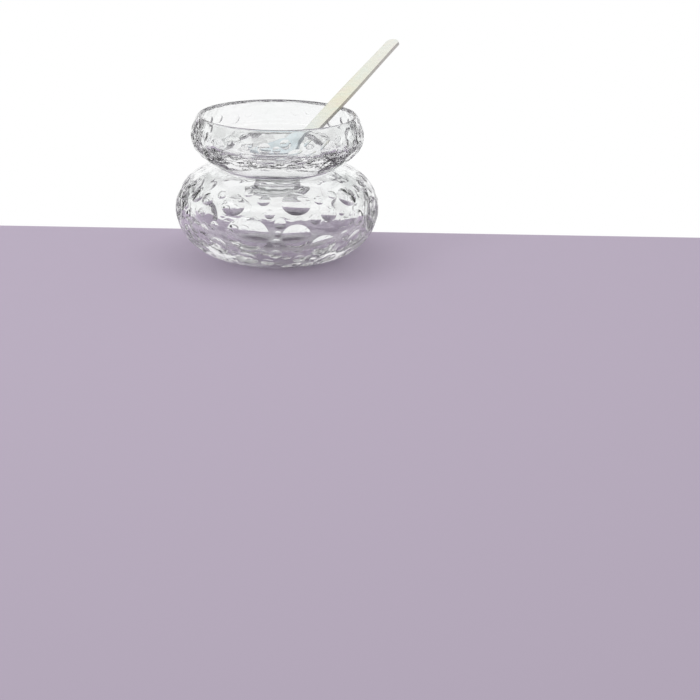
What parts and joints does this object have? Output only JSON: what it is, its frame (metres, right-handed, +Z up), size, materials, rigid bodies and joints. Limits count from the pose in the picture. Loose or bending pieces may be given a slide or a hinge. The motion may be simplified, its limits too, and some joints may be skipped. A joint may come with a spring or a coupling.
{
  "type": "caviar server",
  "caption": "Cut crystal caviar server: a round ice bowl, a footed caviar bowl that rests on its mouth, and a pearl spoon that leans in it.",
  "frame": {"origin": "middle of the flat face that the ice bowl stands on", "axes": "+Z up along the axis of both bowls, -Y towards the viewer, +X to the side that the spoon leans to"},
  "size_m": [0.1312, 0.1286, 0.1187],
  "materials": {
    "ice_crystal": "polished clear crystal, cut with round hollows",
    "caviar_crystal": "polished clear crystal, cut with round hollows",
    "pearl": "polished mother-of-pearl, cream with a faint green, yellow and pink sheen"
  },
  "bodies": {
    "ice_bowl": {"ice_bowl": "ice_crystal"},
    "caviar_bowl": {"caviar_bowl": "caviar_crystal"},
    "spoon": {"spoon": "pearl"}
  },
  "joints": [
    {"name": "caviar_bowl_lift", "type": "slide", "parent": "ice_bowl", "child": "caviar_bowl", "axis": [0, 0, 1], "range_m": [0, 0.06]},
    {"name": "spoon_lift", "type": "slide", "parent": "caviar_bowl", "child": "spoon", "axis": [0, 0, 1], "range_m": [0, 0.06]}
  ]
}
